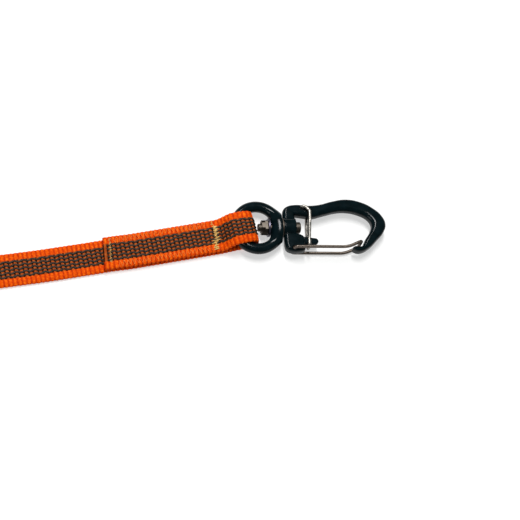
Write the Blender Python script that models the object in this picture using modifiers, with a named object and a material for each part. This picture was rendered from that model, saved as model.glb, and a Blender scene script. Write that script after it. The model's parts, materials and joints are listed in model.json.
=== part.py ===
"""A webbing lead's clip end: sewn webbing loop, swivel eye and wire-gate carabiner with a keeper wire.

Lengths are in metres. The hardware is drawn round the swivel's axis: X runs along it towards the
nose of the carabiner, Y towards the spine, Z up. The empty axis_frame carries that frame, and puts
the world's origin under the middle of the clip end, on the surface that it lies on.
"""

import math

import bmesh
import bpy
from mathutils import Matrix, Vector

MM = 0.001
GAP = 0.3 * MM  # between pieces that touch

# Webbing: 3/4 inch tape with rubber grip strands
STRAP_WIDTH = 19 * MM
STRAP_THICK = 2.4 * MM
STRAP_ANGLE = math.radians(10.2)  # the strap's line through the eye's centre, seen from above
AXIS_HEIGHT = 5.85 * MM  # swivel axis above the surface

# Sewn end loop, along the strap's own line from the eye's centre
SLOT_HALF = 3.4 * MM  # half the height of the space round the eye's bar
FOLD_X = -6.8 * MM  # centre of the fold's bend
RAMP_ANGLE = math.radians(67)
FLEX_X = -19.6 * MM  # where the webbing bends when the clip is lifted
OVERLAP_FRONT = -22.3 * MM
OVERLAP_END = -86.3 * MM
BIGHT_WIDTH = 17.1 * MM  # the webbing is squeezed a little where it passes the eye
TACK_THICK = 0.4 * MM
TACK_GAP = 0.08 * MM
TACK_WIDTH = 17 * MM

# Swivel eye
EYE_BAR = 3.1 * MM  # radius of the bar
EYE_X = 12.3 * MM  # half axes of the bar's centre line
EYE_Y = 12.7 * MM
BOSS_NEAR = 7.05 * MM
BOSS_FAR = 13.55 * MM
BOSS_R = 5.2 * MM
SEAT_R = 5.5 * MM
BOSS_SPREAD = math.radians(32)  # how far round the eye the boss reaches

# Swivel pin, nut and washers (M5)
PIN_R = 2.2 * MM
BORE_R = 2.6 * MM
PIN_END = 0.2 * MM
HEAD_R = 3.2 * MM
HEAD_NEAR = 21.5 * MM
HEAD_FAR = 24.8 * MM
NUT_FLATS = 8.0 * MM
NUT_NEAR = 2.15 * MM
NUT_FAR = 5.45 * MM
WASHER_NEAR = 5.75 * MM
WASHER_FAR = 6.75 * MM
WASHER_R = 5.2 * MM
THRUST_NEAR = 13.8 * MM
THRUST_FAR = 14.35 * MM
THRUST_R = 5.4 * MM

# Carabiner body
BODY_HALF = 3.15 * MM  # half its thickness
EDGE_IN = 1.7 * MM  # how far the rounding of its edges reaches in at the head
SPINE_EDGE_IN = 3.0 * MM  # and along the spine and the bend, where the bar is nearly oval
EDGE_DROP = 2.2 * MM  # how far the rounding reaches down
EDGE_STEPS = 6
HEAD_FACE = 14.6 * MM  # the face that turns against the eye
WINDOW_X = 21.4 * MM  # the window's wall that holds the pin's head
BARREL_R = 5.6 * MM
BODY_REACH = 73.7 * MM  # furthest point of the bend
SPINE_TOP = 17.1 * MM
HOOK_TIP = Vector((53.1 * MM, -13.0 * MM))
SPUR_HALF = 1.35 * MM
SPUR_Y = -8.35 * MM
SPUR_R = 1.85 * MM
SPUR_TIP = 34.1 * MM
SPUR_EDGE = 0.9 * MM

# Wires
WIRE_R = 0.95 * MM
HOLE_R = 1.3 * MM
GATE_PIVOT = (19.4 * MM, -13.2 * MM)
GATE_LEG_Z = 4.7 * MM
GATE_BEND = (50.0 * MM, -13.4 * MM)
GATE_TIP = (58.0 * MM, -9.7 * MM)
KEEPER_PIVOT = (25.6 * MM, 11.3 * MM)
KEEPER_LEG_Z = 4.6 * MM
KEEPER_FOOT_Z = 2.55 * MM
KEEPER_FOOT_Y = -11.9 * MM
WIRE_STUB = 1.2 * MM  # how near the wire's end comes to the middle of the body

# The rest of the lead: flat, a quarter turn onto its edge, then wound round its hand loop
LEAD_ROUTE = ((-100, -18.0), (-120, -21.4), (-141, -24.6), (-160, -27.2), (-180, -29.6), (-200, -31.6))
LEAD_END = Vector((-216 * MM, -33.0 * MM))
TWIST_FROM = -152 * MM
TWIST_TO = -214 * MM
COIL_RADIUS = 72 * MM  # centre line of the outermost turn
COIL_TOUCH = Vector((-240 * MM, -35.0 * MM))  # where the lead meets its outermost turn
COIL_HEADING = math.radians(184)
COIL_INNER = 49.0 * MM
COIL_OUTER = 73.5 * MM
HAND_LOOP_R = 47.0 * MM


def clear_scene():
    for old in list(bpy.data.objects):
        bpy.data.objects.remove(old, do_unlink=True)


def collection(name):
    made = bpy.data.collections.new(name)
    bpy.context.scene.collection.children.link(made)
    return made


def material(name, colour, roughness, metallic):
    made = bpy.data.materials.new(name)
    made.use_nodes = True
    shader = made.node_tree.nodes["Principled BSDF"]
    shader.inputs["Base Color"].default_value = (*colour, 1)
    shader.inputs["Roughness"].default_value = roughness
    shader.inputs["Metallic"].default_value = metallic
    return made


clear_scene()
PARTS = collection("swivel_lead")
CUTTERS = collection("cutters")
BLACK = material("black_anodised", (0.006, 0.011, 0.013), 0.22, 0.6)
STEEL = material("steel", (0.55, 0.54, 0.5), 0.25, 1)
ORANGE = material("orange_webbing", (0.85, 0.16, 0.015), 0.8, 0)
THREAD = material("tan_thread", (0.55, 0.33, 0.1), 0.7, 0)


def empty(name, location, angle=0.0, parent=None):
    made = bpy.data.objects.new(name, None)
    made.location = location
    made.rotation_euler = (0, 0, angle)
    made.parent = parent
    PARTS.objects.link(made)
    return made


def clip_corners():
    """Lowest and highest X and Y of the clip end, in the swivel's frame."""
    cos, sin = math.cos(STRAP_ANGLE), math.sin(STRAP_ANGLE)
    low_x = OVERLAP_END * cos - STRAP_WIDTH / 2 * sin
    low_y = OVERLAP_END * sin - STRAP_WIDTH / 2 * cos
    return low_x, low_y, BODY_REACH, SPINE_TOP


low_x, low_y, high_x, high_y = clip_corners()
MIDDLE = ((low_x + high_x) / 2, (low_y + high_y) / 2)
FRAME = empty("axis_frame", (-MIDDLE[0], -MIDDLE[1], AXIS_HEIGHT))
STRAP = empty("strap_line", (0, 0, 0), STRAP_ANGLE, FRAME)
empty("loop_flex", (FLEX_X, 0, STRAP_THICK - AXIS_HEIGHT), 0, STRAP)
SWIVEL = empty("swivel", (0, 0, 0), 0, FRAME)
GATE = empty("gate_hinge", (*GATE_PIVOT, 0), 0, SWIVEL)
KEEPER = empty("keeper_hinge", (*KEEPER_PIVOT, 0), 0, SWIVEL)


def add(name, mesh, look, parent, smooth=40):
    """A piece drawn in the swivel's frame, or in the strap's, carried by an empty on its joint."""
    made = bpy.data.objects.new(name, mesh)
    made.parent = parent
    made.data.materials.clear()
    made.data.materials.append(look)
    PARTS.objects.link(made)
    if smooth:
        mesh.shade_smooth()
        mesh.set_sharp_from_angle(angle=math.radians(smooth))
    return made


def cutter(name, mesh, parent=FRAME):
    made = bpy.data.objects.new(name, mesh)
    made.parent = parent
    made.hide_render = True
    made.display_type = "WIRE"
    CUTTERS.objects.link(made)
    return made


def boolean(piece, other, operation="DIFFERENCE"):
    made = piece.modifiers.new(other.name, "BOOLEAN")
    made.operation = operation
    made.object = other


def mesh_from(name, shape):
    mesh = bpy.data.meshes.new(name)
    shape.to_mesh(mesh)
    shape.free()
    return mesh


def rod(name, start, end, radius, axis="X", at=(0, 0), sides=32, rounding=0.0):
    """A cylinder along X or Z through the point at."""
    shape = bmesh.new()
    bmesh.ops.create_cone(
        shape, cap_ends=True, segments=sides, radius1=radius, radius2=radius, depth=end - start
    )
    if rounding:
        rims = [edge for edge in shape.edges if abs(edge.verts[0].co.z - edge.verts[1].co.z) < 1e-9]
        bmesh.ops.bevel(
            shape, geom=rims, offset=rounding, segments=2, affect="EDGES", profile=0.5
        )
    bmesh.ops.translate(shape, verts=shape.verts, vec=(0, 0, (start + end) / 2))
    if axis == "X":
        turn = Matrix.Rotation(math.pi / 2, 4, "Y")
        bmesh.ops.transform(shape, matrix=turn, verts=shape.verts)
        move = (0, at[0], at[1])
    else:
        move = (at[0], at[1], 0)
    bmesh.ops.translate(shape, verts=shape.verts, vec=move)
    return mesh_from(name, shape)


def block(name, low, high, rounding=0.0):
    """A box between two corners."""
    shape = bmesh.new()
    bmesh.ops.create_cube(shape, size=1)
    size = [b - a for a, b in zip(low, high)]
    bmesh.ops.scale(shape, vec=size, verts=shape.verts)
    middle = [(a + b) / 2 for a, b in zip(low, high)]
    bmesh.ops.translate(shape, verts=shape.verts, vec=middle)
    if rounding:
        bmesh.ops.bevel(
            shape, geom=shape.edges, offset=rounding, segments=2, affect="EDGES", profile=0.5
        )
    return mesh_from(name, shape)


def baked(name, curve):
    """The mesh of a curve, with its caps welded on."""
    holder = bpy.data.objects.new(name, curve)
    PARTS.objects.link(holder)
    bpy.context.view_layer.update()
    graph = bpy.context.evaluated_depsgraph_get()
    mesh = bpy.data.meshes.new_from_object(holder.evaluated_get(graph))
    bpy.data.objects.remove(holder, do_unlink=True)
    shape = bmesh.new()
    shape.from_mesh(mesh)
    bmesh.ops.remove_doubles(shape, verts=shape.verts, dist=0.002 * MM)
    shape.to_mesh(mesh)
    shape.free()
    return mesh


def poly_curve(name, points, radius, resolution=2, cyclic=False):
    curve = bpy.data.curves.new(name, "CURVE")
    curve.dimensions = "3D"
    curve.bevel_depth = radius
    curve.bevel_resolution = resolution
    curve.use_fill_caps = not cyclic
    spline = curve.splines.new("POLY")
    spline.points.add(len(points) - 1)
    for point, place in zip(spline.points, points):
        point.co = (*place, 1)
    spline.use_cyclic_u = cyclic
    return curve


def rounded_path(corners, radii, steps=6):
    """The corners joined by straight runs, each inner corner rounded to an arc of its own radius."""
    path = [Vector(corners[0])]
    for before, corner, after, radius in zip(corners, corners[1:], corners[2:], radii):
        corner = Vector(corner)
        back = (Vector(before) - corner).normalized()
        on = (Vector(after) - corner).normalized()
        half = back.angle(on) / 2
        reach = min(radius / math.tan(half), 0.45 * min((Vector(before) - corner).length,
                                                        (Vector(after) - corner).length))
        bend = reach * math.tan(half)
        centre = corner + (back + on).normalized() * (bend / math.sin(half))
        first, last = corner + back * reach - centre, corner + on * reach - centre
        for step in range(steps + 1):
            path.append(centre + first.slerp(last, step / steps) * bend)
    path.append(Vector(corners[-1]))
    return path


def arc(centre, radius, start, end, steps):
    """Points on a circle, with the angles in degrees."""
    angles = [math.radians(start + (end - start) * i / steps) for i in range(steps + 1)]
    return [(centre[0] + radius * math.cos(a), centre[1] + radius * math.sin(a)) for a in angles]


# Outline of the carabiner's body in millimetres, as one closed line. A is a smooth point, V a corner.
BODY_OUTLINE = (
    # inner side, from the window along the spine to the bend
    (21.4, 7.0, "V"), (25.9, 6.3, "A"), (30.8, 5.7, "A"), (38.6, 7.6, "A"), (45.3, 9.3, "A"),
    (51.1, 9.7, "A"), (58.3, 8.2, "A"), (63.4, 5.3, "A"), (65.3, 1.9, "A"), (64.5, -1.8, "A"),
    # down to the nose, its notch and its hook
    (60.6, -8.0, "A"), (59.5, -10.2, "A"), (58.7, -11.5, "A"), (57.0, -11.9, "A"), (54.4, -11.8, "A"),
    (53.1, -13.0, "A"), (54.6, -14.6, "A"), (57.5, -15.1, "A"),
    # outer side, back over the bend and along the spine
    (62.7, -12.7, "A"), (67.6, -8.0, "A"), (71.9, -3.1, "A"), (73.7, 1.7, "A"), (72.0, 7.0, "A"),
    (67.1, 11.9, "A"), (60.4, 15.5, "A"), (52.0, 17.1, "A"), (44.0, 15.9, "A"), (36.0, 13.7, "A"),
    (30.0, 13.1, "A"), (21.6, 13.4, "A"), (17.2, 12.3, "A"), (15.1, 10.2, "A"),
    # the head and the gate's block
    (14.6, 7.4, "V"), (14.6, -10.6, "V"), (15.3, -13.3, "A"), (18.0, -14.9, "A"), (23.0, -15.0, "A"),
    (25.8, -14.0, "A"), (26.2, -12.0, "A"), (26.3, -9.0, "V"), (25.8, -5.9, "A"), (23.9, -4.6, "A"),
    (21.4, -3.8, "V"),
)


def outline_points():
    """The body's outline as a dense closed line, taken from a curve through its points."""
    curve = bpy.data.curves.new("body_outline", "CURVE")
    curve.dimensions = "3D"
    curve.resolution_u = 5
    spline = curve.splines.new("BEZIER")
    spline.bezier_points.add(len(BODY_OUTLINE) - 1)
    spline.use_cyclic_u = True
    for point, (x, y, kind) in zip(spline.bezier_points, BODY_OUTLINE):
        point.co = (x * MM, y * MM, 0)
        handle = "AUTO" if kind == "A" else "VECTOR"
        point.handle_left_type = handle
        point.handle_right_type = handle
    return [vert.co.xy.copy() for vert in baked("body_outline", curve).vertices]


def inset(outline, depth, share_at):
    """The outline, listed with the material on its left, moved into the material by depth.

    The depth is scaled at each point by share_at.
    """
    moved = []
    for before, here, after in zip(outline[-1:] + outline[:-1], outline, outline[1:] + outline[:1]):
        back, on = (here - before).normalized(), (after - here).normalized()
        inward = Vector((-back.y - on.y, back.x + on.x)).normalized()
        corner = max(inward.dot(Vector((-back.y, back.x))), 0.6)
        moved.append(here + inward * depth * share_at(here) / corner)
    return moved


def rounded_plate(name, outline, half, reach, drop, share_at):
    """The outline given thickness, with both of its edges rounded: in by reach and down by drop."""
    angles = [math.radians(90 - 90 * step / EDGE_STEPS) for step in range(EDGE_STEPS + 1)]
    levels = [(reach * (1 - math.cos(a)), half - drop * (1 - math.sin(a))) for a in angles]
    levels += [(depth, -z) for depth, z in reversed(levels)]
    shape = bmesh.new()
    rings = [
        [shape.verts.new((*point, z)) for point in inset(outline, depth, share_at)] for depth, z in levels
    ]
    shape.faces.new(rings[0])
    shape.faces.new(rings[-1][::-1])
    for upper, lower in zip(rings, rings[1:]):
        for i in range(len(upper)):
            shape.faces.new((upper[i - 1], upper[i], lower[i], lower[i - 1]))
    bmesh.ops.recalc_face_normals(shape, faces=shape.faces)
    return mesh_from(name, shape)


def body_share(place):
    """The rounding is small at the thin tip of the hook and wide along the spine and the bend."""
    from_tip = (place - HOOK_TIP).length
    widen = (SPINE_EDGE_IN / EDGE_IN - 1) * ease((place.x - 25 * MM) / (7 * MM))
    return min(1.0, 0.4 + from_tip / (14 * MM)) + widen * ease((from_tip - 14 * MM) / (8 * MM))


def carabiner_body():
    plate = rounded_plate("body_plate", outline_points(), BODY_HALF, EDGE_IN, EDGE_DROP, body_share)
    piece = add("carabiner_body", plate, BLACK, SWIVEL)
    barrel = rod("barrel", HEAD_FACE, WINDOW_X, BARREL_R, rounding=0.6 * MM)
    boolean(piece, cutter("barrel", barrel), "UNION")
    boolean(piece, cutter("spur", spur()), "UNION")
    boolean(piece, cutter("pin_bore", rod("pin_bore", 10 * MM, 23.6 * MM, BORE_R)))
    for name, place in (("gate_hole", GATE_PIVOT), ("keeper_hole", KEEPER_PIVOT)):
        hole = rod(name, -6 * MM, 6 * MM, HOLE_R, "Z", place, 20)
        boolean(piece, cutter(name, hole))


def spur():
    """The finger that the keeper's foot lies under: a flat bar with rounded edges and a round end."""
    centre = SPUR_TIP - SPUR_R
    tip = arc((centre, SPUR_Y), SPUR_R, -90, 90, 12)
    root = 23.5 * MM
    outline = [*tip, (root, SPUR_Y + SPUR_R + 1.2 * MM), (root, SPUR_Y - SPUR_R)]
    return rounded_plate("spur", [Vector(p) for p in outline], SPUR_HALF, SPUR_EDGE, SPUR_EDGE, lambda _: 1.0)


def slab(name, outline, low, high, upright=False):
    """A flat outline given thickness along Z, or an upright one along Y."""
    shape = bmesh.new()
    if upright:
        corners = [shape.verts.new((a, low, b)) for a, b in outline]
        way = (0, high - low, 0)
    else:
        corners = [shape.verts.new((a, b, low)) for a, b in outline]
        way = (0, 0, high - low)
    face = shape.faces.new(corners)
    grown = bmesh.ops.extrude_face_region(shape, geom=[face])
    moved = [item for item in grown["geom"] if isinstance(item, bmesh.types.BMVert)]
    bmesh.ops.translate(shape, verts=moved, vec=way)
    bmesh.ops.recalc_face_normals(shape, faces=shape.faces)
    return mesh_from(name, shape)


def local(path, pivot):
    """Points moved from the swivel's frame to a hinge's."""
    return [Vector((x - pivot[0], y - pivot[1], z)) for x, y, z in path]


def mirrored(half):
    """A path with its mirror image across the middle plane joined on."""
    return [*half, *[(x, y, -z) for x, y, z in reversed(half)]]


def wire_gate():
    corners = mirrored([
        (*GATE_PIVOT, WIRE_STUB),
        (*GATE_PIVOT, GATE_LEG_Z),
        (*GATE_BEND, GATE_LEG_Z),
        (*GATE_TIP, GATE_LEG_Z),
    ])
    radii = [1.9 * MM, 15 * MM, 1.9 * MM]
    path = rounded_path(local(corners, GATE_PIVOT), radii + radii[::-1])
    add("wire_gate", baked("wire_gate", poly_curve("wire_gate", path, WIRE_R)), STEEL, GATE)


def keeper_wire():
    x, y = KEEPER_PIVOT
    corners = mirrored([
        (x, y, WIRE_STUB),
        (x, y, KEEPER_LEG_Z),
        (x + 1.9 * MM, y - 0.2 * MM, KEEPER_LEG_Z),
        (x + 4.1 * MM, y - 2.7 * MM, KEEPER_LEG_Z),
        (x + 3.5 * MM, y - 9.5 * MM, KEEPER_LEG_Z),
        (x + 2.9 * MM, y - 18.6 * MM, KEEPER_FOOT_Z),
        (x + 2.6 * MM, KEEPER_FOOT_Y, KEEPER_FOOT_Z),
    ])
    radii = [1.6 * MM, 1.6 * MM, 2.5 * MM, 6 * MM, 4 * MM, 1.6 * MM]
    path = rounded_path(local(corners, KEEPER_PIVOT), radii + radii[::-1])
    add("keeper_wire", baked("keeper_wire", poly_curve("keeper_wire", path, WIRE_R)), STEEL, KEEPER)


def eye_bar():
    """The eye's bar as a ring that swells smoothly into its boss on the swivel's side."""
    steps = 72
    turns = [2 * math.pi * step / steps for step in range(steps)]
    ring = [(EYE_X * math.cos(turn), EYE_Y * math.sin(turn), 0) for turn in turns]
    curve = poly_curve("swivel_eye", ring, EYE_BAR, 5, cyclic=True)
    for point, turn in zip(curve.splines[0].points, turns):
        away = abs((turn + math.pi) % (2 * math.pi) - math.pi)
        point.radius = 1 + (BOSS_R / EYE_BAR - 1) * math.exp(-((away / BOSS_SPREAD) ** 3))
    return baked("swivel_eye", curve)


def swivel_eye():
    """The bar's ring, faced flat for the washers on both sides of its boss and bored for the pin."""
    piece = add("swivel_eye", eye_bar(), BLACK, FRAME)
    boolean(piece, cutter("eye_seat", rod("eye_seat", 3 * MM, BOSS_NEAR, SEAT_R)))
    boolean(piece, cutter("eye_face", rod("eye_face", BOSS_FAR, 20 * MM, 12 * MM)))
    boolean(piece, cutter("eye_bore", rod("eye_bore", 5 * MM, 18 * MM, BORE_R)))


def turned(name, profile, look, parent, steps=32):
    """A profile of (radius, place along X) turned about the swivel's axis, listed from far to near."""
    mesh = bpy.data.meshes.new(name)
    mesh.from_pydata([(r, 0, x) for r, x in profile], closed_edges(profile), [])
    piece = add(name, mesh, look, parent, smooth=0)
    piece.rotation_euler = (0, math.pi / 2, 0)
    screw = piece.modifiers.new("turned", "SCREW")
    screw.axis = "Z"
    screw.steps = steps
    screw.render_steps = steps
    screw.use_merge_vertices = True
    screw.merge_threshold = 0.0001 * MM
    return piece


def closed_edges(profile):
    """Edges between neighbours; a profile that starts off the axis is a closed loop."""
    count = len(profile)
    edges = [(i, i + 1) for i in range(count - 1)]
    return edges if profile[0][0] == 0 else [*edges, (count - 1, 0)]


def washer(name, outer, near, far, parent):
    return turned(name, [(BORE_R, far), (outer, far), (outer, near), (BORE_R, near)], STEEL, parent)


def swivel_hardware():
    dome = [(HEAD_R * math.sin(math.radians(a)), HEAD_FAR - 0.9 * MM * (1 - math.cos(math.radians(a))))
            for a in (0, 25, 50, 75, 90)]
    turned("swivel_pin", [
        *dome, (HEAD_R, HEAD_NEAR), (PIN_R, HEAD_NEAR), (PIN_R, PIN_END + 0.4 * MM),
        (PIN_R - 0.4 * MM, PIN_END), (0, PIN_END),
    ], STEEL, SWIVEL)
    washer("nut_washer", WASHER_R, WASHER_NEAR, WASHER_FAR, SWIVEL)
    washer("thrust_washer", THRUST_R, THRUST_NEAR, THRUST_FAR, FRAME)
    nut = rod("swivel_nut", NUT_NEAR, NUT_FAR, NUT_FLATS / math.sqrt(3), sides=6)
    piece = add("swivel_nut", nut, STEEL, SWIVEL)
    boolean(piece, cutter("nut_bore", rod("nut_bore", 2 * MM, 9 * MM, PIN_R + GAP)))
    chamfer = turned("nut_chamfer", [
        (0, NUT_FAR + MM), (6.0 * MM, NUT_FAR + MM), (6.0 * MM, NUT_NEAR + 0.9 * MM),
        (4.1 * MM, NUT_NEAR - 0.2 * MM), (0, NUT_NEAR - 0.2 * MM),
    ], STEEL, SWIVEL)
    PARTS.objects.unlink(chamfer)
    CUTTERS.objects.link(chamfer)
    chamfer.hide_render = True
    chamfer.display_type = "WIRE"
    boolean(piece, chamfer, "INTERSECT")
    for turn in range(3):
        slot = block(f"nut_slot_{turn}", (NUT_NEAR - MM, -6 * MM, -0.75 * MM),
                     (NUT_NEAR + 1.8 * MM, 6 * MM, 0.75 * MM))
        slot.transform(Matrix.Rotation(math.radians(60 * turn), 4, "X"))
        boolean(piece, cutter(slot.name, slot))


def bight_outline(half, floor, ceiling):
    """One side of the webbing round the eye's bar, from the fold over the top and down the ramp."""
    bar = (-EYE_X, 0)
    over = arc(bar, half, 90, 90 + math.degrees(RAMP_ANGLE), 5)
    fall = (over[-1][1] - ceiling) / math.tan(RAMP_ANGLE)
    foot = (over[-1][0] - fall, ceiling)
    fold = arc((FOLD_X, 0), half, -90, 90, 12)
    return [(FOLD_X, floor), *fold[1:], *over, foot]


def webbing_bight():
    """The loop of webbing through the eye, with its foot rounded to bend against the overlap."""
    bottom = -AXIS_HEIGHT + 0.05 * MM
    outer = bight_outline(SLOT_HALF + STRAP_THICK, bottom, -AXIS_HEIGHT + 2 * STRAP_THICK)
    hinge = (FLEX_X, STRAP_THICK - AXIS_HEIGHT)
    heel = arc(hinge, STRAP_THICK - 0.05 * MM, 90, 270, 10)
    inner = bight_outline(SLOT_HALF, -SLOT_HALF, -SLOT_HALF)
    half = BIGHT_WIDTH / 2
    mesh = slab("webbing_bight", [*outer, *heel], -half, half, upright=True)
    piece = add("webbing_bight", mesh, ORANGE, STRAP)
    slot = slab("bight_slot", inner, -half - MM, half + MM, upright=True)
    boolean(piece, cutter("bight_slot", slot, STRAP))


def sewn_overlap():
    """The doubled length where the webbing is sewn back on itself, and its two bar tacks."""
    half = STRAP_WIDTH / 2
    top = 2 * STRAP_THICK - AXIS_HEIGHT
    shape = block("webbing_overlap", (OVERLAP_END, -half, -AXIS_HEIGHT), (OVERLAP_FRONT, half, top))
    piece = add("webbing_overlap", shape, ORANGE, STRAP, smooth=0)
    edge = piece.modifiers.new("soft edges", "BEVEL")
    edge.width = 0.5 * MM
    edge.segments = 2
    low, high = top + TACK_GAP, top + TACK_GAP + TACK_THICK
    side = TACK_WIDTH / 2
    for name, near, far in (("front_bar_tack", -26.2, -22.6), ("rear_bar_tack", -84.2, -81.2)):
        tack = block(name, (near * MM, -side, low), (far * MM, side, high), 0.1 * MM)
        add(name, tack, THREAD, STRAP, smooth=0)
    for name, place in (("near_edge_seam", -1), ("far_edge_seam", 1)):
        across = sorted((place * 5.6 * MM, place * 8.6 * MM))
        seam = block(name, (-80.6 * MM, across[0], low), (-26.8 * MM, across[1], high), 0.1 * MM)
        add(name, seam, THREAD, STRAP, smooth=0)


def smooth_route(points, spacing):
    """Points at an even spacing along a smooth curve through the given ones."""
    points = [Vector(p) for p in points]
    ends = [2 * points[0] - points[1], *points, 2 * points[-1] - points[-2]]
    fine = []
    for a, b, c, d in zip(ends, ends[1:], ends[2:], ends[3:]):
        for i in range(40):
            t = i / 40
            fine.append(0.5 * (2 * b + (c - a) * t + (2 * a - 5 * b + 4 * c - d) * t * t
                               + (3 * b - 3 * c + d - a) * t * t * t))
    fine.append(points[-1])
    kept, walked = [fine[0]], 0.0
    for before, here in zip(fine, fine[1:]):
        walked += (here - before).length
        if walked >= spacing:
            kept.append(here)
            walked = 0.0
    return kept


def ease(t):
    t = min(max(t, 0.0), 1.0)
    return t * t * (3 - 2 * t)


def webbing_lead():
    """The single strap from the overlap to the coil, rising from flat onto its edge."""
    cos, sin = math.cos(STRAP_ANGLE), math.sin(STRAP_ANGLE)
    start = OVERLAP_END - GAP
    first = [Vector((start * cos, start * sin)), Vector(((start - 8 * MM) * cos, (start - 8 * MM) * sin))]
    route = [*first, *[Vector((x * MM, y * MM)) for x, y in LEAD_ROUTE], LEAD_END]
    flat = smooth_route(route, 4 * MM)
    curve = poly_curve("webbing_lead", [(0, 0, 0)] * len(flat), STRAP_THICK / 2)
    curve.extrude = (STRAP_WIDTH - STRAP_THICK) / 2
    curve.twist_mode = "Z_UP"
    for point, place in zip(curve.splines[0].points, flat):
        lean = math.pi / 2 * ease((TWIST_FROM - place.x) / (TWIST_FROM - TWIST_TO))
        rise = STRAP_WIDTH / 2 * math.sin(lean) + STRAP_THICK / 2 * math.cos(lean)
        point.co = (place.x, place.y, rise - AXIS_HEIGHT, 1)
        point.tilt = math.pi / 2 - lean
    add("webbing_lead", baked("webbing_lead", curve), ORANGE, FRAME)


def coil_centre():
    """The coil turns to the right of the way that the lead arrives."""
    right = Vector((math.sin(COIL_HEADING), -math.cos(COIL_HEADING)))
    return COIL_TOUCH + right * COIL_RADIUS


def upright_ring(name, inner, outer, look):
    """A ring of webbing standing on its edge, turned about the coil's upright axis."""
    middle = coil_centre()
    low, high = -AXIS_HEIGHT, STRAP_WIDTH - AXIS_HEIGHT
    profile = [(inner, high), (outer, high), (outer, low), (inner, low)]
    piece = turned(name, profile, look, FRAME, 64)
    piece.rotation_euler = (0, 0, 0)
    piece.location = (middle.x, middle.y, 0)
    return piece


def coil_and_hand_loop():
    upright_ring("webbing_coil", COIL_INNER, COIL_OUTER, ORANGE)
    half = STRAP_THICK / 2
    upright_ring("hand_loop", HAND_LOOP_R - half, HAND_LOOP_R + half, ORANGE)
    middle = coil_centre()
    inside = HAND_LOOP_R - half - TACK_GAP - TACK_THICK
    tack = block(
        "hand_loop_tack",
        (-TACK_THICK / 2, -1.6 * MM, STRAP_WIDTH / 2 - TACK_WIDTH / 2 - AXIS_HEIGHT),
        (TACK_THICK / 2, 1.6 * MM, STRAP_WIDTH / 2 + TACK_WIDTH / 2 - AXIS_HEIGHT),
        0.1 * MM,
    )
    piece = add("hand_loop_tack", tack, THREAD, FRAME, smooth=0)
    piece.location = (middle.x + inside, middle.y, 0)


carabiner_body()
wire_gate()
keeper_wire()
swivel_eye()
swivel_hardware()
webbing_bight()
sewn_overlap()
webbing_lead()
coil_and_hand_loop()
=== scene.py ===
"""The webbing lead with its swivel and carabiner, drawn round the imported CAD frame.

Lengths are in metres. The hardware is placed from the swivel's axis, and the webbing from the strap's
own line through the eye's centre.
"""

import json
import math

import bmesh
import bpy
import numpy as np
from mathutils import Matrix, Vector


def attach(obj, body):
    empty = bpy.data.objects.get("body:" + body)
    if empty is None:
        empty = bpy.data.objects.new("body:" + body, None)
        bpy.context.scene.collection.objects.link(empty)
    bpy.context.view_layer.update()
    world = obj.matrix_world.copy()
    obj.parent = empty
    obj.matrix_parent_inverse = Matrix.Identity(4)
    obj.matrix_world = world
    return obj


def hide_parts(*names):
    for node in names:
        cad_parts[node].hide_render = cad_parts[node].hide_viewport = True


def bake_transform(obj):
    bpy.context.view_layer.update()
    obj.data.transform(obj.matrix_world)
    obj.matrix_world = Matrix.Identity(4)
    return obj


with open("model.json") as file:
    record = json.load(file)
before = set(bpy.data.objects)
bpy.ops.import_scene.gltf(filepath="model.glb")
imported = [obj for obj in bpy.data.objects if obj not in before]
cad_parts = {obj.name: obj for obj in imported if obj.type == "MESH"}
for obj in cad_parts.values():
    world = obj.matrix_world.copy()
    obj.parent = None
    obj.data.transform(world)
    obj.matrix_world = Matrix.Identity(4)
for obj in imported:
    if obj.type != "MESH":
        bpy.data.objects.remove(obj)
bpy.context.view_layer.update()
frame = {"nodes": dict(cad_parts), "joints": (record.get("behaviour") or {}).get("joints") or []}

MM = 0.001
UP = Vector((0, 0, 1))
RNG = np.random.default_rng(7)

# Places, the same as in the CAD
AXIS_HEIGHT = 5.85 * MM  # of the swivel's axis over the ground
SWIVEL_AT = 11 * MM  # the swivel joint's point, along the axis from the eye's centre
JOINTS = {joint["name"]: joint for joint in frame["joints"]}
CENTRE = Vector(JOINTS["swivel"]["pos_m"]) - Vector((SWIVEL_AT, 0, 0))
STRAP_ANGLE = math.radians(10.2)
ALONG = Vector((math.cos(STRAP_ANGLE), math.sin(STRAP_ANGLE), 0))
ACROSS = Vector((-math.sin(STRAP_ANGLE), math.cos(STRAP_ANGLE), 0))
GROUND = CENTRE.z - AXIS_HEIGHT

# Webbing
WIDTH = 19 * MM
THICK = 2.4 * MM
RIB = 2.46 * MM  # spacing of the borders' ribs
WAVE = 5.0 * MM  # length of one sway of a rubber strand
CELL = WAVE / 2  # spacing of the floats between the strands
BORDER_FROM = 0.56  # share of the half width where the border begins
SCALLOP = 0.16 * MM  # how far the ribs move the edges
RIB_LIFT = 0.42 * MM  # height of the borders' ribs
RIB_LEVEL = 0.83  # share of that height below the tape's nominal face
RIB_ROUNDNESS = 0.7  # below 1 the ribs are broad and the grooves narrow
FLOAT_LIFT = 0.4 * MM  # height of the middle's floats
FLOAT_SINK = 0.25 * MM  # how far the middle lies below the nominal face
EDGE_ROUND = 0.35 * MM  # how much thinner the tape is at its edges
WANDER = 0.04 * MM  # random unevenness of the edges and strands

# Rubber strands
STRANDS = 5
STRAND_SPACING = 2.12 * MM
STRAND_SIDES = 6
STRAND_R = 0.57 * MM
STRAND_FLATNESS = 0.85  # a strand's height as a share of its width
STRAND_SWAY = 0.38 * MM
STRAND_SHIFT = 0.12 * MM  # how far ahead of its neighbour each strand sways
STRAND_SINK = 0.1 * MM  # how far a strand's middle lies below the tape's nominal face
STRAND_PRESS = 0.5 * MM  # how much further a pressed strand sinks
STRAND_RISE = 0.1 * MM  # how far it rises and falls along its way

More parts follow.
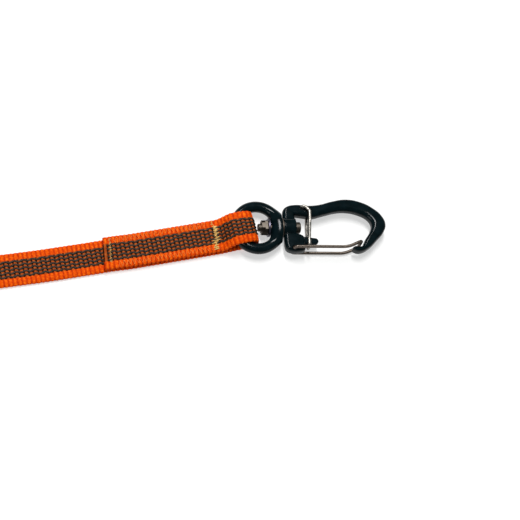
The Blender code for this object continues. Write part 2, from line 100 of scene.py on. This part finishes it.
# The sewn end loop, along the strap's line
SLOT_HALF = 3.4 * MM  # half the space in the fold, where the eye's bar lies
FOLD_X = -6.8 * MM  # middle of the fold's round
OVERLAP_END = -86.3 * MM
CUT_SLANT = math.radians(8)
CUT_FROM = 0.92  # share of the loop's length where the slant begins
FOLD_SHARE = 0.5  # share of that length where the fold is
SQUEEZE_REACH = 0.1  # share of that length, to each side, that the eye draws in
EYE_SQUEEZE = 0.035  # share of the width by which it is drawn in
SNAG_BACK = 43.5 * MM  # from the cut end to the place where two strands are drawn together
SNAG_ACROSS = 3.2 * MM
SNAG_PULL = 0.45  # share of their distance to it that the strands move
SNAG_LENGTH = 2.2 * MM
SNAG_REACH = 3 * MM  # how far across the pull is felt

# The rest of the lead, counted from the eye's centre; the route's places are in millimetres
LEAD_ROUTE = ((-100, -17.9), (-120, -21.2), (-141, -24.2), (-160, -26.9), (-180, -29.4), (-200, -31.5),
              (-216, -33))
TWIST_FROM = -152 * MM  # from here the strap turns up onto its edge
TWIST_TO = -214 * MM
COIL_RADIUS = 72 * MM
COIL_TOUCH = Vector((-240 * MM, -35.0 * MM))
COIL_HEADING = math.radians(184)
COIL_TURN = math.radians(994)  # nearly three turns, inwards
HAND_LOOP_R = 47 * MM
COIL_LAST_R = HAND_LOOP_R + THICK + 0.2 * MM

# Camera
VIEW = Vector((-0.195, -0.382, 0.904)).normalized()
DISTANCE = 0.9
LENS = 112.15
SENSOR = 36
AIM = (0.00153, -0.01792)  # where the picture's middle looks, right and up of the eye's centre


def strap(x, y=0.0, z=0.0):
    """A place along, across and above the strap's line through the eye's centre."""
    return CENTRE + ALONG * x + ACROSS * y + UP * z


def link(obj):
    bpy.context.scene.collection.objects.link(obj)
    return obj


def make_camera():
    """A camera on the line of view, with the swivel's axis level in the picture."""
    side = VIEW.cross(Vector((1, 0, 0))).normalized()
    right = side.cross(VIEW)
    camera = bpy.data.cameras.new("camera")
    camera.lens = LENS
    camera.sensor_width = SENSOR
    holder = link(bpy.data.objects.new("camera", camera))
    place = CENTRE + VIEW * DISTANCE + right * AIM[0] + side * AIM[1]
    holder.matrix_world = Matrix.Translation(place) @ Matrix((right, side, VIEW)).transposed().to_4x4()
    bpy.context.scene.camera = holder


make_camera()


# ---------------------------------------------------------------- materials

def shader(name, colour, roughness, metallic=0.0):
    made = bpy.data.materials.new(name)
    made.use_nodes = True
    tree = made.node_tree
    surface = tree.nodes["Principled BSDF"]
    surface.inputs["Base Color"].default_value = (*colour, 1)
    surface.inputs["Roughness"].default_value = roughness
    surface.inputs["Metallic"].default_value = metallic
    return made, tree, surface


def node(tree, kind, **settings):
    made = tree.nodes.new("ShaderNode" + kind)
    for name, value in settings.items():
        if hasattr(made, name):
            setattr(made, name, value)
        else:
            made.inputs[name.replace("_", " ")].default_value = value
    return made


def ramp(tree, source, stops):
    made = tree.nodes.new("ShaderNodeValToRGB")
    elements = made.color_ramp.elements
    while len(elements) < len(stops):
        elements.new(0.5)
    for element, (place, colour) in zip(elements, stops):
        element.position = place
        element.color = (*colour, 1)
    tree.links.new(source, made.inputs["Fac"])
    return made.outputs["Color"]


def noise(tree, scale, detail=3):
    where = tree.nodes.new("ShaderNodeTexCoord")
    made = node(tree, "TexNoise", Scale=scale, Detail=detail)
    tree.links.new(where.outputs["Object"], made.inputs["Vector"])
    return made.outputs["Fac"]


def bump(tree, surface, height, strength, distance):
    made = node(tree, "Bump", Strength=strength, Distance=distance)
    tree.links.new(height, made.inputs["Height"])
    tree.links.new(made.outputs["Normal"], surface.inputs["Normal"])


def mix(tree, factor, first, second, blend="MIX"):
    made = tree.nodes.new("ShaderNodeMix")
    made.data_type = "RGBA"
    made.blend_type = blend
    # The node's sockets for numbers and vectors come before and between those for colours
    for value, socket in ((factor, made.inputs[0]), (first, made.inputs[6]), (second, made.inputs[7])):
        if isinstance(value, bpy.types.NodeSocket):
            tree.links.new(value, socket)
        elif isinstance(value, tuple):
            socket.default_value = (*value, 1)
        else:
            socket.default_value = value
    return made.outputs[2]


def wave_of(tree, along, length):
    """A wave from 0 to 1 along the strap; along counts border ribs, and length is in ribs."""
    turn = node(tree, "Math", operation="MULTIPLY")
    turn.inputs[1].default_value = 2 * math.pi / length
    wave = node(tree, "Math", operation="SINE")
    half = node(tree, "Math", operation="MULTIPLY_ADD")
    half.inputs[1].default_value = 0.5
    half.inputs[2].default_value = 0.5
    tree.links.new(along, turn.inputs[0])
    tree.links.new(turn.outputs[0], wave.inputs[0])
    tree.links.new(wave.outputs[0], half.inputs[0])
    return half.outputs[0]


def webbing_material():
    """Orange ribbed borders and a browner middle, with painted shade in the ribs' grooves and the floats'
    gaps. The map counts ribs along and runs 0 to 1 across.
    """
    made, tree, surface = shader("orange_webbing", (0.9, 0.12, 0.01), 0.7)
    surface.inputs["Specular IOR Level"].default_value = 0.06
    uv = tree.nodes.new("ShaderNodeUVMap")
    split = tree.nodes.new("ShaderNodeSeparateXYZ")
    tree.links.new(uv.outputs["UV"], split.inputs[0])
    speckle = noise(tree, 900, 4)
    border = ramp(tree, speckle, [
        (0.3, (0.64, 0.052, 0.0)), (0.52, (0.8, 0.085, 0.0)), (0.75, (1.0, 0.2, 0.006)),
    ])
    # painted shade: the border is darkened in the grooves between its ribs
    painted_groove_shade = ramp(tree, wave_of(tree, split.outputs[0], 1), [(0.05, (0.66, 0.42, 0.3)), (0.6, (1, 1, 1))])
    border = mix(tree, 1.0, border, painted_groove_shade, "MULTIPLY")
    middle = ramp(tree, speckle, [(0.3, (0.27, 0.042, 0.006)), (0.7, (0.47, 0.105, 0.017))])
    # painted shade: the middle is darkened in the gaps between its floats
    painted_gap_shade = ramp(tree, wave_of(tree, split.outputs[0], CELL / RIB), [(0.1, (0.1,) * 3), (0.5, (1, 1, 1))])
    middle = mix(tree, 1.0, middle, painted_gap_shade, "MULTIPLY")
    across = ramp(tree, split.outputs[1], [
        (0.0, (1, 1, 1)), (0.215, (1, 1, 1)), (0.235, (0, 0, 0)), (0.765, (0, 0, 0)),
        (0.785, (1, 1, 1)), (1.0, (1, 1, 1)),
    ])
    tree.links.new(mix(tree, across, middle, border), surface.inputs["Base Color"])
    bump(tree, surface, noise(tree, 5000, 2), 0.35, 0.0003)
    return made


def strand_material():
    made, tree, surface = shader("rubber_strand", (0.03, 0.024, 0.018), 0.6)
    surface.inputs["Specular IOR Level"].default_value = 0.18
    tone = ramp(tree, noise(tree, 700), [(0.3, (0.018, 0.0125, 0.009)), (0.7, (0.055, 0.042, 0.031))])
    tree.links.new(tone, surface.inputs["Base Color"])
    bump(tree, surface, noise(tree, 4000), 0.3, 0.0002)
    return made


def thread_material(name, dark, light):
    made, tree, surface = shader(name, light, 0.6)
    surface.inputs["Specular IOR Level"].default_value = 0.2
    tone = ramp(tree, noise(tree, 1500), [(0.3, dark), (0.7, light)])
    tree.links.new(tone, surface.inputs["Base Color"])
    bump(tree, surface, noise(tree, 6000), 0.4, 0.0002)
    return made


def black_material():
    """A near-black anodised gloss with a blue-green painted reflection in its base colour, a little uneven
    in tone and in polish.
    """
    made, tree, surface = shader("black_anodised", (0.001, 0.005, 0.006), 0.12)
    surface.inputs["Specular IOR Level"].default_value = 0.14
    # painted reflection: the blue-green tint stands for bluish surroundings mirrored in the gloss; the
    # noise varies the tone at random
    tone = ramp(tree, noise(tree, 260, 5), [(0.35, (0.0008, 0.004, 0.005)), (0.7, (0.0022, 0.008, 0.0105))])
    tree.links.new(tone, surface.inputs["Base Color"])
    wear = ramp(tree, noise(tree, 500, 4), [(0.3, (0.12,) * 3), (0.75, (0.18,) * 3)])
    tree.links.new(wear, surface.inputs["Roughness"])
    bump(tree, surface, noise(tree, 900, 3), 0.05, 0.00005)
    return made


def steel_material(name, dark, light, rough):
    """Steel with a grain drawn out along the swivel's axis."""
    made, tree, surface = shader(name, light, rough, 1.0)
    where = tree.nodes.new("ShaderNodeTexCoord")
    stretch = node(tree, "Mapping")
    stretch.inputs["Scale"].default_value = (60, 350, 350)
    grain = node(tree, "TexNoise", Scale=1.0, Detail=3)
    tree.links.new(where.outputs["Object"], stretch.inputs["Vector"])
    tree.links.new(stretch.outputs[0], grain.inputs["Vector"])
    tone = ramp(tree, grain.outputs["Fac"], [(0.3, dark), (0.7, light)])
    tree.links.new(tone, surface.inputs["Base Color"])
    wear = ramp(tree, grain.outputs["Fac"], [(0.3, (rough * 0.95,) * 3), (0.7, (rough * 1.25,) * 3)])
    tree.links.new(wear, surface.inputs["Roughness"])
    bump(tree, surface, grain.outputs["Fac"], 0.01, 0.00005)
    return made


ORANGE = webbing_material()
RUBBER = strand_material()
TAN = thread_material("tan_thread", (0.42, 0.2, 0.05), (0.72, 0.42, 0.13))
PALE_TAN = thread_material("pale_tan_thread", (0.6, 0.33, 0.08), (0.9, 0.6, 0.2))
PALE_ORANGE = thread_material("pale_orange_thread", (0.75, 0.15, 0.012), (0.95, 0.33, 0.06))
BLACK = black_material()
# painted reflection: these steels' dark brown-grey base colours stand for warm, dark surroundings mirrored
# in the metal, the keeper's a lighter copy of the gate wire's
GATE_STEEL_PAINTED_REFLECTION = steel_material("gate_wire_steel_painted_reflection", (0.138, 0.111, 0.092), (0.172, 0.14, 0.118), 0.38)
KEEPER_STEEL_PAINTED_REFLECTION = steel_material("keeper_wire_steel_painted_reflection", (0.33, 0.31, 0.28), (0.39, 0.365, 0.33), 0.36)
PLATED_STEEL_PAINTED_REFLECTION = steel_material("plated_steel_painted_reflection", (0.065, 0.055, 0.045), (0.14, 0.12, 0.1), 0.42)
CHROMED = steel_material("chromed_washer", (0.08, 0.07, 0.1), (0.16, 0.145, 0.19), 0.28)


# ---------------------------------------------------------------- webbing

def polish(path, spacing):
    """The path walked again in even steps."""
    path = np.array([tuple(p) for p in path])
    lengths = np.linalg.norm(np.diff(path, axis=0), axis=1)
    walked = np.concatenate([[0], np.cumsum(lengths)])
    count = max(2, round(walked[-1] / spacing) + 1)
    steps = np.linspace(0, walked[-1], count)
    return np.stack([np.interp(steps, walked, path[:, i]) for i in range(3)], axis=1), steps


def directions(path, closed=False):
    if closed:
        ahead = np.roll(path, -1, axis=0) - np.roll(path, 1, axis=0)
    else:
        ahead = np.gradient(path, axis=0)
    return ahead / np.linalg.norm(ahead, axis=1)[:, None]


def section():
    """Points round a strap's section: places across and up, as shares of its half width and thickness."""
    top = np.linspace(0.94, -0.94, 21)
    points = [(y, 1.0) for y in top]
    points += [(-0.985, 0.72), (-1.0, 0.0), (-0.985, -0.72)]
    points += [(y, -1.0) for y in top[::-1]]
    points += [(0.985, -0.72), (1.0, 0.0), (0.985, 0.72)]
    return np.array(points)


def grid_mesh(rows, closed):
    """Vertices in rows of equal length joined to a tube, with its ends closed."""
    count, around = rows.shape[:2]
    index = np.arange(count * around).reshape(count, around)
    last = count if closed else count - 1
    a = index[np.arange(last)]
    b = index[(np.arange(last) + 1) % count]
    quads = np.stack([a, np.roll(a, -1, axis=1), np.roll(b, -1, axis=1), b], axis=-1).reshape(-1, 4)
    faces = quads.tolist()
    if not closed:
        faces.append(index[0][::-1].tolist())
        faces.append(index[-1].tolist())
    return rows.reshape(-1, 3), faces


def face_normals(path, across, closed):
    """The direction square to the strap's face at every step of its path."""
    normal = np.cross(directions(path, closed), across)
    return normal / np.linalg.norm(normal, axis=1)[:, None]


def spread(core, side, sideways, normal, upwards):
    """Rows of points round a core, shifted along side and normal: one row for every core point."""
    shift = side[:, None, :] * sideways[..., None] + normal[:, None, :] * upwards[..., None]
    return core[:, None, :] + shift


def wave_along(steps, length):
    """A wave from 0 to 1 along the strap."""
    return 0.5 + 0.5 * np.sin(2 * math.pi * steps / length)


def tape_rows(path, steps, across, closed):
    """The strap's surface: ribs along both borders, a flatter middle and scalloped edges."""
    normal = face_normals(path, across, closed)
    share_y, share_z = section().T
    rib = wave_along(steps, RIB)
    cell = wave_along(steps, CELL)
    border = np.clip((np.abs(share_y) - BORDER_FROM + 0.04) / 0.08, 0, 1)
    wobble = RNG.normal(0, WANDER, len(path))
    half_width = (WIDTH / 2 + SCALLOP * (rib - 0.5) + wobble)[:, None] * share_y[None, :]
    lift = border[None, :] * RIB_LIFT * (rib[:, None] ** RIB_ROUNDNESS - RIB_LEVEL)
    dip = (1 - border)[None, :] * (FLOAT_LIFT * (cell[:, None] - 0.5) - FLOAT_SINK)
    round_off = -EDGE_ROUND * np.clip((np.abs(share_y) - 0.8) / 0.14, 0, 1) ** 2
    half_thick = (THICK / 2 + lift + dip + round_off[None, :]) * share_z[None, :]
    return spread(path, across, half_width, normal, half_thick), steps / RIB, share_y


def strand_rows(path, steps, across, number, face, closed, snag, pressed):
    """One rubber strand: a small tube that sways as it runs along the strap's face.

    A snag is a place along and across where the strands are drawn together.
    """
    offset = (number - (STRANDS - 1) / 2) * STRAND_SPACING
    normal = face_normals(path, across, closed)
    turn = 2 * math.pi * (steps + STRAND_SHIFT * number) / WAVE
    sway = offset + STRAND_SWAY * np.sin(turn) + RNG.normal(0, WANDER, len(steps))
    if snag:
        near = ((steps - snag[0]) / SNAG_LENGTH) ** 2 + ((offset - snag[1]) / SNAG_REACH) ** 2
        sway += (snag[1] - offset) * SNAG_PULL * np.exp(-near)
    press = 1.0 if pressed else np.clip(-face * normal[:, 2], 0, 1)  # what faces the ground is pressed too
    rise = STRAND_RISE * np.sin(2 * turn + 1.0)
    height = face * (THICK / 2 - STRAND_SINK - STRAND_PRESS * press + rise)
    core = path + across * sway[:, None] + normal * height[:, None]
    side = np.cross(normal, directions(core, closed))
    side /= np.linalg.norm(side, axis=1)[:, None]
    angles = np.arange(STRAND_SIDES) * 2 * math.pi / STRAND_SIDES
    flat = np.cos(angles)[None, :] * STRAND_R
    tall = np.sin(angles)[None, :] * STRAND_R * STRAND_FLATNESS
    return spread(core, side, flat, normal, tall)


def mesh_object(name, parts, closed=False):
    """parts is a list of (rows, material, rib counts, shares across)."""
    points, faces, looks, maps = [], [], [], []
    slots = []
    for rows, look, ribs, shares in parts:
        if look not in slots:
            slots.append(look)
        verts, quads = grid_mesh(rows, closed)
        base = sum(len(p) for p in points)
        points.append(verts)
        faces += [[i + base for i in face] for face in quads]
        looks += [slots.index(look)] * len(quads)
        if ribs is None:
            maps.append(np.zeros((len(verts), 2)))
        else:
            u = np.repeat(ribs, len(shares))
            v = np.tile(0.5 + 0.5 * shares, len(ribs))
            maps.append(np.stack([u, v], axis=1))
    mesh = bpy.data.meshes.new(name)
    mesh.from_pydata(np.concatenate(points).tolist(), [], faces)
    for look in slots:
        mesh.materials.append(look)
    mesh.polygons.foreach_set("material_index", looks)
    mesh.polygons.foreach_set("use_smooth", [True] * len(faces))
    layer = mesh.uv_layers.new(name="UVMap")
    places = np.concatenate(maps)
    corner = np.zeros(len(mesh.loops), dtype=np.int32)
    mesh.loops.foreach_get("vertex_index", corner)
    layer.data.foreach_set("uv", places[corner].astype(np.float32).ravel())
    shape = bmesh.new()
    shape.from_mesh(mesh)
    bmesh.ops.recalc_face_normals(shape, faces=shape.faces)
    shape.to_mesh(mesh)
    shape.free()
    return link(bpy.data.objects.new(name, mesh))


def strap_object(name, path, across_at, spacing, closed=False, bare=0.0, snag=None, pressed_face=None):
    """A length of grip webbing: the tape, and its rubber strands on both faces.

    The strands stop short of the path's end by the length called bare, where the tape is sealed.
    """
    path, steps = polish(path, spacing)
    if closed:
        path, steps = path[:-1], steps[:-1]
    across = np.array([tuple(across_at(i / (len(path) - 1), Vector(p))) for i, p in enumerate(path)])
    rows, ribs, shares = tape_rows(path, steps, across, closed)
    parts = [(rows, ORANGE, ribs, shares)]
    kept = int(np.searchsorted(steps, steps[-1] - bare, side="right"))
    for face in (1, -1):
        for number in range(STRANDS):
            tube = strand_rows(path[:kept], steps[:kept], across[:kept], number, face, closed, snag,
                               face == pressed_face)
            parts.append((tube, RUBBER, None, None))
    return mesh_object(name, parts, closed), path


# ---------------------------------------------------------------- the free lead

def smooth_route(points, steps=40):
    """A curve through the points, with so many steps from each to the next."""
    points = [Vector(p) for p in points]
    ends = [2 * points[0] - points[1], *points, 2 * points[-1] - points[-2]]
    fine = []
    for a, b, c, d in zip(ends, ends[1:], ends[2:], ends[3:]):
        for i in range(steps):
            t = i / steps
            fine.append(0.5 * (2 * b + (c - a) * t + (2 * a - 5 * b + 4 * c - d) * t * t
                               + (3 * b - 3 * c + d - a) * t * t * t))
    fine.append(points[-1])
    return fine


def ease(t):
    t = min(max(t, 0.0), 1.0)
    return t * t * (3 - 2 * t)


def coil_middle():
    """The coil's middle, to the right of the strap's heading where it meets the coil."""
    right = Vector((math.sin(COIL_HEADING), -math.cos(COIL_HEADING)))
    return COIL_TOUCH + right * COIL_RADIUS


def lead_lean(x):
    """How far the strap has turned up onto its edge."""
    return math.pi / 2 * ease((TWIST_FROM - x) / (TWIST_FROM - TWIST_TO))


def lead_route():
    """The free strap's middle line: straight on, along the route, and round the coil inwards."""
    start = OVERLAP_END - 0.3 * MM
    first = [ALONG.xy * x for x in (start, start - 8 * MM)]
    middle = coil_middle()
    begin = math.atan2(COIL_TOUCH.y - middle.y, COIL_TOUCH.x - middle.x)
    coil = []
    steps = 160
    for i in range(steps + 1):
        share = i / steps
        radius = COIL_RADIUS + (COIL_LAST_R + THICK / 2 - COIL_RADIUS) * share
        angle = begin - COIL_TURN * share
        coil.append(middle + radius * Vector((math.cos(angle), math.sin(angle))))
    run = [Vector((x * MM, y * MM)) for x, y in LEAD_ROUTE]
    placed, lean = [], 0.0
    for place in smooth_route([*first, *run, *coil]):
        lean = max(lean, lead_lean(place.x))
        rise = WIDTH / 2 * math.sin(lean) + THICK / 2 * math.cos(lean)
        placed.append(CENTRE + Vector((place.x, place.y, rise - AXIS_HEIGHT)))
    return placed


def free_lead():
    points, _ = polish(lead_route(), 1.0 * MM)
    ahead = directions(points)
    sides, lean = [], 0.0
    for place, way in zip(points, ahead):
        lean = max(lean, lead_lean(place[0] - CENTRE.x))
        flat = UP.cross(Vector(way)).normalized()
        sides.append(flat * math.cos(lean) + UP * math.sin(lean))

    def across_at(share, _):
        return sides[min(round(share * (len(sides) - 1)), len(sides) - 1)]

    return strap_object("webbing_lead_cord", points, across_at, 0.5 * MM)


def upright(_, __):
    """Across the strap at every place of a ring that stands on its edge."""
    return UP


def ring_path(middle, radius, count=200):
    """A closed circle at half the standing strap's height."""
    return [
        CENTRE + Vector((middle.x + radius * math.cos(2 * math.pi * i / count),
                         middle.y + radius * math.sin(2 * math.pi * i / count),
                         WIDTH / 2 - AXIS_HEIGHT))
        for i in range(count + 1)
    ]


lead, lead_path = free_lead()
hand_loop, _ = strap_object("hand_loop_webbing", ring_path(coil_middle(), HAND_LOOP_R), upright, 0.5 * MM,
                            closed=True)


# ---------------------------------------------------------------- the sewn end loop

# Where the top layer comes down off the eye, in millimetres along and above the strap's line
LOOP_RAMP = ((-9.5, 4.65), (-12.2, 4.55), (-14.3, 4.0), (-16.4, 2.3), (-18.6, 0.0), (-20.9, -1.7),
             (-23.4, -2.2), (-26.5, -2.25), (-40, -2.25))
CUT_LIFT = 0.6 * MM  # how far the cut end stands off the layer below
LOWER_SHIFT = -0.5 * MM  # how far the lower layer lies off the strap's line between its ends
UPPER_SHIFT = 0.4 * MM  # and the upper one at its cut end
SHIFT_RUN = 15 * MM  # length of strap over which the shift grows


def layer_shift(x, lower):
    """The layers are not sewn quite edge to edge: how far each one lies off the strap's line."""
    if lower:
        return LOWER_SHIFT * ease((x - OVERLAP_END) / SHIFT_RUN) * ease((-12 * MM - x) / (12 * MM))
    return UPPER_SHIFT * ease((OVERLAP_END + 18 * MM - x) / SHIFT_RUN)


def loop_route():
    """The tape's middle line from the overlap's end, under the eye's bar, round it and back on top."""
    low = -AXIS_HEIGHT + THICK / 2
    high = low + THICK
    fold = SLOT_HALF + THICK / 2
    line = [(OVERLAP_END, low), (-40 * MM, low), (-12 * MM, low), (FOLD_X, -fold)]
    line += [(FOLD_X + fold * math.sin(math.radians(a)), -fold * math.cos(math.radians(a)))
             for a in range(15, 180, 15)]
    line += [(FOLD_X, fold)]
    line += [(x * MM, z * MM) for x, z in LOOP_RAMP]
    line += [(OVERLAP_END + 6 * MM, high), (OVERLAP_END - 0.8 * MM, high + CUT_LIFT)]
    route = smooth_route(line)
    return [strap(p.x, layer_shift(p.x, i < len(route) / 2), p.y) for i, p in enumerate(route)]


def loop_across(share, _):
    """Square to the strap, but for the slanted cut end on top, and drawn in a little by the eye."""
    slant = CUT_SLANT * ease((share - CUT_FROM) / (1 - CUT_FROM))
    drawn_in = 1 - EYE_SQUEEZE * ease(1 - abs(share - FOLD_SHARE) / SQUEEZE_REACH)
    return (ACROSS * math.cos(slant) + ALONG * math.sin(slant)) * drawn_in


LOOP_ROUTE = loop_route()
LOOP_LENGTH = sum((b - a).length for a, b in zip(LOOP_ROUTE, LOOP_ROUTE[1:]))
loop, _ = strap_object("end_loop_webbing", LOOP_ROUTE, loop_across, 0.35 * MM, bare=1.5 * MM,
                       snag=(LOOP_LENGTH - SNAG_BACK, SNAG_ACROSS), pressed_face=1)


# ---------------------------------------------------------------- stitches

TOP = -AXIS_HEIGHT + 2 * THICK
THREAD_ABOVE = 0.1 * MM  # height of the needle's holes over the top face
HUMP_SINK = 0.35  # share of a stitch's rise by which its ends dive in
# from y, to y, stitches, reach to each side and middle x, all but the count in mm
FRONT_TACK_GROUPS = ((8.9, 5.6, 7, 0.4, -24.3), (5.6, 1.6, 27, 1.3, -23.0), (1.6, -3.4, 13, 1.4, -23.5),
                     (-3.4, -8.4, 22, 1.6, -24.9))
REAR_TACK_X = (-83.9 * MM, -82.9 * MM)
REAR_TACK_Y = (-5.5 * MM, 8.4 * MM)
REAR_TACK_SLANT = 0.14  # how far it leans along the strap for every length across
SEAM_FROM = -80.6 * MM
SEAM_TO = -27 * MM
SEAM_PITCH = 1.1 * MM
SEAM_Y = (8.7 * MM, 5.7 * MM)
HAND_TACK_ROWS = 22


def thread(name, stitches, radius, look):
    """Stitches are lists of places; each becomes a thread that dives in at both of its ends."""
    curve = bpy.data.curves.new(name, "CURVE")
    curve.dimensions = "3D"
    curve.bevel_depth = radius
    curve.bevel_resolution = 1
    curve.use_fill_caps = True
    for places in stitches:
        spline = curve.splines.new("POLY")
        spline.points.add(len(places) - 1)
        for point, place in zip(spline.points, places):
            point.co = (*place, 1)
    curve.materials.append(look)
    return link(bpy.data.objects.new(name, curve))


def stitch(first, last, rise, outward=UP):
    """One stitch, humped between its two holes."""
    steps = 6
    return [
        first.lerp(last, i / steps) + outward * rise * (math.sin(math.pi * i / steps) - HUMP_SINK)
        for i in range(steps + 1)
    ]


def zigzag(places, rise, jitter):
    """Stitches from each place to the next, with every hole a little out of true."""
    moved = [p + Vector(RNG.normal(0, jitter, 3)) * Vector((1, 1, 0)) for p in places]
    return [stitch(a, b, rise) for a, b in zip(moved, moved[1:])]


def front_tack_stitches():
    """Sewn over itself by hand: thin at the far edge, dense over the grip, looser at the near edge."""
    places = []
    for first, last, count, reach, middle in FRONT_TACK_GROUPS:
        for i in range(count):
            y = (first + (last - first) * i / count) * MM
            x = (middle + (reach if i % 2 else -reach) * RNG.uniform(0.6, 1.15)) * MM
            places.append(strap(x, y, TOP + THREAD_ABOVE))
    stitches = zigzag(places, rise=0.35 * MM, jitter=0.3 * MM)
    return thread("front_tack_stitches", stitches, radius=0.17 * MM, look=PALE_TAN)


def rear_tack_stitches():
    """A narrow row of zigzag stitches across the strap, just inside the cut end."""
    rows = 24
    places = []
    for i in range(rows):
        y = REAR_TACK_Y[0] + (REAR_TACK_Y[1] - REAR_TACK_Y[0]) * i / (rows - 1)
        x = REAR_TACK_X[(i + 1) % 2] + y * REAR_TACK_SLANT
        places.append(strap(x, y, TOP + THREAD_ABOVE))
    stitches = zigzag(places, rise=0.3 * MM, jitter=0.2 * MM)
    return thread("rear_tack_stitches", stitches, radius=0.2 * MM, look=TAN)


def edge_seam(name, side):
    """A zigzag seam along one border of the overlap."""
    places, x = [], SEAM_FROM
    while x < SEAM_TO:
        places.append(strap(x, SEAM_Y[len(places) % 2] * side, TOP + 0.12 * MM))
        x += SEAM_PITCH
    stitches = zigzag(places, rise=0.2 * MM, jitter=0.15 * MM)
    return thread(name, stitches, radius=0.11 * MM, look=PALE_ORANGE)


def hand_loop_stitches():
    """A column of zigzag stitches on the inside of the hand loop."""
    middle = coil_middle()
    inside = HAND_LOOP_R - THICK / 2 - THREAD_ABOVE
    low, high = 1.5 * MM, WIDTH - 1.5 * MM
    reach = 1.4 * MM
    places = []
    for i in range(HAND_TACK_ROWS):
        z = low + (high - low) * i / (HAND_TACK_ROWS - 1) - AXIS_HEIGHT
        places.append(CENTRE + Vector((middle.x + inside, middle.y + (reach if i % 2 else -reach), z)))
    inward = Vector((-1, 0, 0))
    stitches = [stitch(a, b, 0.3 * MM, inward) for a, b in zip(places, places[1:])]
    return thread("hand_loop_stitches", stitches, radius=0.26 * MM, look=TAN)


front_tack = front_tack_stitches()
rear_tack = rear_tack_stitches()
near_seam = edge_seam("near_seam_stitches", -1)
far_seam = edge_seam("far_seam_stitches", 1)
hand_tack = hand_loop_stitches()


# ---------------------------------------------------------------- the hard parts

WELD = 0.002 * MM


def smoothed(name, look, body, crease):
    """A finer-looking copy of a hard node: its facets welded and shaded as one smooth surface."""
    source = frame["nodes"][name]
    mesh = bpy.data.meshes.new(name + "_smooth")
    places = [source.matrix_world @ vertex.co for vertex in source.data.vertices]
    mesh.from_pydata(places, [], [tuple(face.vertices) for face in source.data.polygons])
    shape = bmesh.new()
    shape.from_mesh(mesh)
    bmesh.ops.remove_doubles(shape, verts=shape.verts, dist=WELD)
    bmesh.ops.dissolve_degenerate(shape, edges=shape.edges, dist=WELD)
    bmesh.ops.recalc_face_normals(shape, faces=shape.faces)
    shape.to_mesh(mesh)
    shape.free()
    mesh.polygons.foreach_set("use_smooth", [True] * len(mesh.polygons))
    mesh.set_sharp_from_angle(angle=math.radians(crease))
    mesh.materials.append(look)
    made = link(bpy.data.objects.new(name + "_smooth", mesh))
    even = made.modifiers.new("even", "WEIGHTED_NORMAL")
    even.keep_sharp = True
    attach(made, body)
    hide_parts(name)
    return made


# Each hard node's material, body, crease angle in degrees and slot
HARD = {
    "carabiner_body": (BLACK, "carabiner", 34, "black_metal"),
    "swivel_eye": (BLACK, "eye", 40, "black_metal"),
    "wire_gate": (GATE_STEEL_PAINTED_REFLECTION, "gate", 50, "steel"),
    "keeper_wire": (KEEPER_STEEL_PAINTED_REFLECTION, "keeper", 50, "steel"),
    "swivel_pin": (PLATED_STEEL_PAINTED_REFLECTION, "carabiner", 30, "steel"),
    "swivel_nut": (PLATED_STEEL_PAINTED_REFLECTION, "carabiner", 25, "steel"),
    "nut_washer": (CHROMED, "carabiner", 30, "steel"),
    "thrust_washer": (PLATED_STEEL_PAINTED_REFLECTION, "eye", 30, "steel"),
}
for name, (look, body, crease, slot) in HARD.items():
    smoothed(name, look, body, crease)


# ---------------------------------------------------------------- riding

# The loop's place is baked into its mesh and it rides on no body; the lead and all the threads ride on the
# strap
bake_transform(loop)
for piece in (lead, hand_loop, hand_tack, front_tack, rear_tack, near_seam, far_seam):
    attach(piece, "strap")
# Each piece's slot and the nodes that it stands in for
for piece, slot, *nodes in (
    (lead, "webbing", "webbing_lead", "webbing_coil"),
    (loop, "webbing", "webbing_overlap", "webbing_bight"),
    (hand_loop, "webbing", "hand_loop"),
    (hand_tack, "thread", "hand_loop_tack"),
    (front_tack, "thread", "front_bar_tack"),
    (rear_tack, "thread", "rear_bar_tack"),
    (near_seam, "thread", "near_edge_seam"),
    (far_seam, "thread", "far_edge_seam"),
):
    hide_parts(*nodes)


# ---------------------------------------------------------------- floor and lights

FLOOR_SIZE = 30
FLOOR_GAP = 0.05 * MM
FLOOR_GLOW = 0.52  # keeps the floor pale where the soft shadows fall


def make_floor():
    made, _, surface = shader("floor", (0.52, 0.515, 0.51), 0.9)
    surface.inputs["Specular IOR Level"].default_value = 0.0
    surface.inputs["Emission Color"].default_value = (1, 1, 1, 1)
    surface.inputs["Emission Strength"].default_value = FLOOR_GLOW
    bpy.ops.mesh.primitive_plane_add(size=FLOOR_SIZE, location=(0, 0, GROUND - FLOOR_GAP))
    floor = bpy.context.object
    floor.name = "floor"
    floor.data.materials.append(made)


def area_light(name, place, size, power):
    """An oval light that looks at the eye's centre; its place is counted from there."""
    lamp = bpy.data.lights.new(name, "AREA")
    lamp.shape = "ELLIPSE"
    lamp.size, lamp.size_y = size
    lamp.energy = power
    holder = link(bpy.data.objects.new(name, lamp))
    place = CENTRE + Vector(place)
    holder.location = place
    holder.rotation_euler = (CENTRE - place).to_track_quat("-Z", "Y").to_euler()


def make_world():
    world = bpy.data.worlds.new("studio")
    world.use_nodes = True
    background = world.node_tree.nodes["Background"]
    background.inputs["Color"].default_value = (0.13, 0.15, 0.15, 1)
    background.inputs["Strength"].default_value = 1.0
    bpy.context.scene.world = world


make_floor()
area_light("key", place=(-0.05, 0.45, 1.2), size=(0.22, 0.9), power=18)
area_light("fill", place=(-0.9, -0.5, 0.9), size=(0.6, 0.6), power=3)
make_world()
bpy.context.scene.view_settings.view_transform = "Standard"
